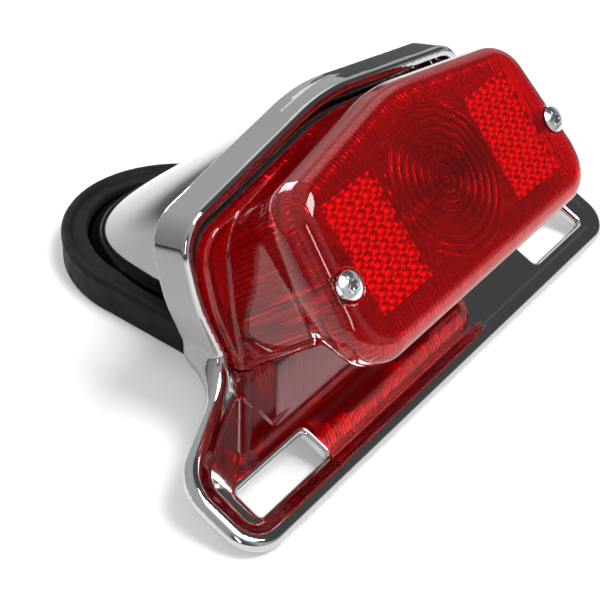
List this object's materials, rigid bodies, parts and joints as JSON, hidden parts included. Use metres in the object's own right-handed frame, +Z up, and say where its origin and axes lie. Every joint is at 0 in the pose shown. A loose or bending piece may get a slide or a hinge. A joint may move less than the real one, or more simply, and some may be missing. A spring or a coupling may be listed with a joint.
{
  "type": "motorcycle tail light",
  "caption": "Motorcycle tail and stop light with a red moulded lens, reflex panels, a bayonet bulb, a chromed fender housing and a slotted number-plate bracket.",
  "frame": {"origin": "on the flat underside of the fender gasket, on the centre line, midway along the gasket", "axes": "+Z up from the fender, +Y forward along the fender, +X to the right of someone facing the lens, which faces -Y"},
  "size_m": [0.1708, 0.1383, 0.0783],
  "materials": {
    "chrome": "polished chrome plate on a cast housing",
    "gasket_rubber": "satin moulded black rubber",
    "seal_rubber": "matte black rubber",
    "red_lens": "glossy transparent red moulded acrylic",
    "red_reflex": "bright red prismatic reflector",
    "clear_window": "clear fluted acrylic",
    "zinc_screw": "bright zinc plate",
    "plated_steel": "zinc-plated pressed steel",
    "spring_steel": "drawn spring steel",
    "brass": "brass, lightly dulled",
    "solder": "dull solder",
    "bulb_glass": "clear blown glass",
    "tungsten": "grey tungsten wire",
    "fibre_board": "brown pressed fibre insulator",
    "brown_lead": "brown cable insulation",
    "red_lead": "red cable insulation",
    "black_lead": "black cable insulation"
  },
  "bodies": {
    "housing_body": {"housing": "chrome", "fender_gasket": "gasket_rubber", "lens_gasket": "seal_rubber", "base_plate": "plated_steel", "plate_screw_left": "zinc_screw", "plate_screw_right": "zinc_screw", "bulb_socket": "plated_steel", "socket_rivet_left": "plated_steel", "socket_rivet_right": "plated_steel", "contact_spring": "spring_steel", "lead_tail": "brown_lead", "lead_stop": "red_lead", "lead_earth": "black_lead", "bullet_tail": "brass", "bullet_stop": "brass", "bullet_earth": "brass"},
    "lens_body": {"lens": "red_lens", "reflex_left": "red_reflex", "reflex_right": "red_reflex", "plate_window": "clear_window", "lens_screw_left": "zinc_screw", "lens_screw_right": "zinc_screw"},
    "contact_body": {"contact_disc": "fibre_board", "contact_pin_tail": "brass", "contact_pin_stop": "brass"},
    "bulb_body": {"bulb_glass": "bulb_glass", "bulb_cap": "brass", "bulb_stem": "bulb_glass", "bulb_contact_tail": "solder", "bulb_contact_stop": "solder", "filament_tail": "tungsten", "filament_stop": "tungsten"}
  },
  "joints": [
    {"name": "lens_lift_off", "type": "slide", "parent": "housing_body", "child": "lens_body", "axis": [0, -0.766, 0.6428], "range_m": [0, 0.07]},
    {"name": "contact_push", "type": "slide", "parent": "housing_body", "child": "contact_body", "axis": [0, 0.9796, -0.2011], "range_m": [0, 0.0025], "stiffness_N_per_m": 1200, "springref_m": -0.004, "deforming": ["contact_spring"]},
    {"name": "bulb_twist", "type": "hinge", "parent": "contact_body", "child": "bulb_body", "pos_m": [0, -0.05031, 0.04359], "axis": [0, 0.9796, -0.2011], "range_deg": [0, 20]}
  ]
}
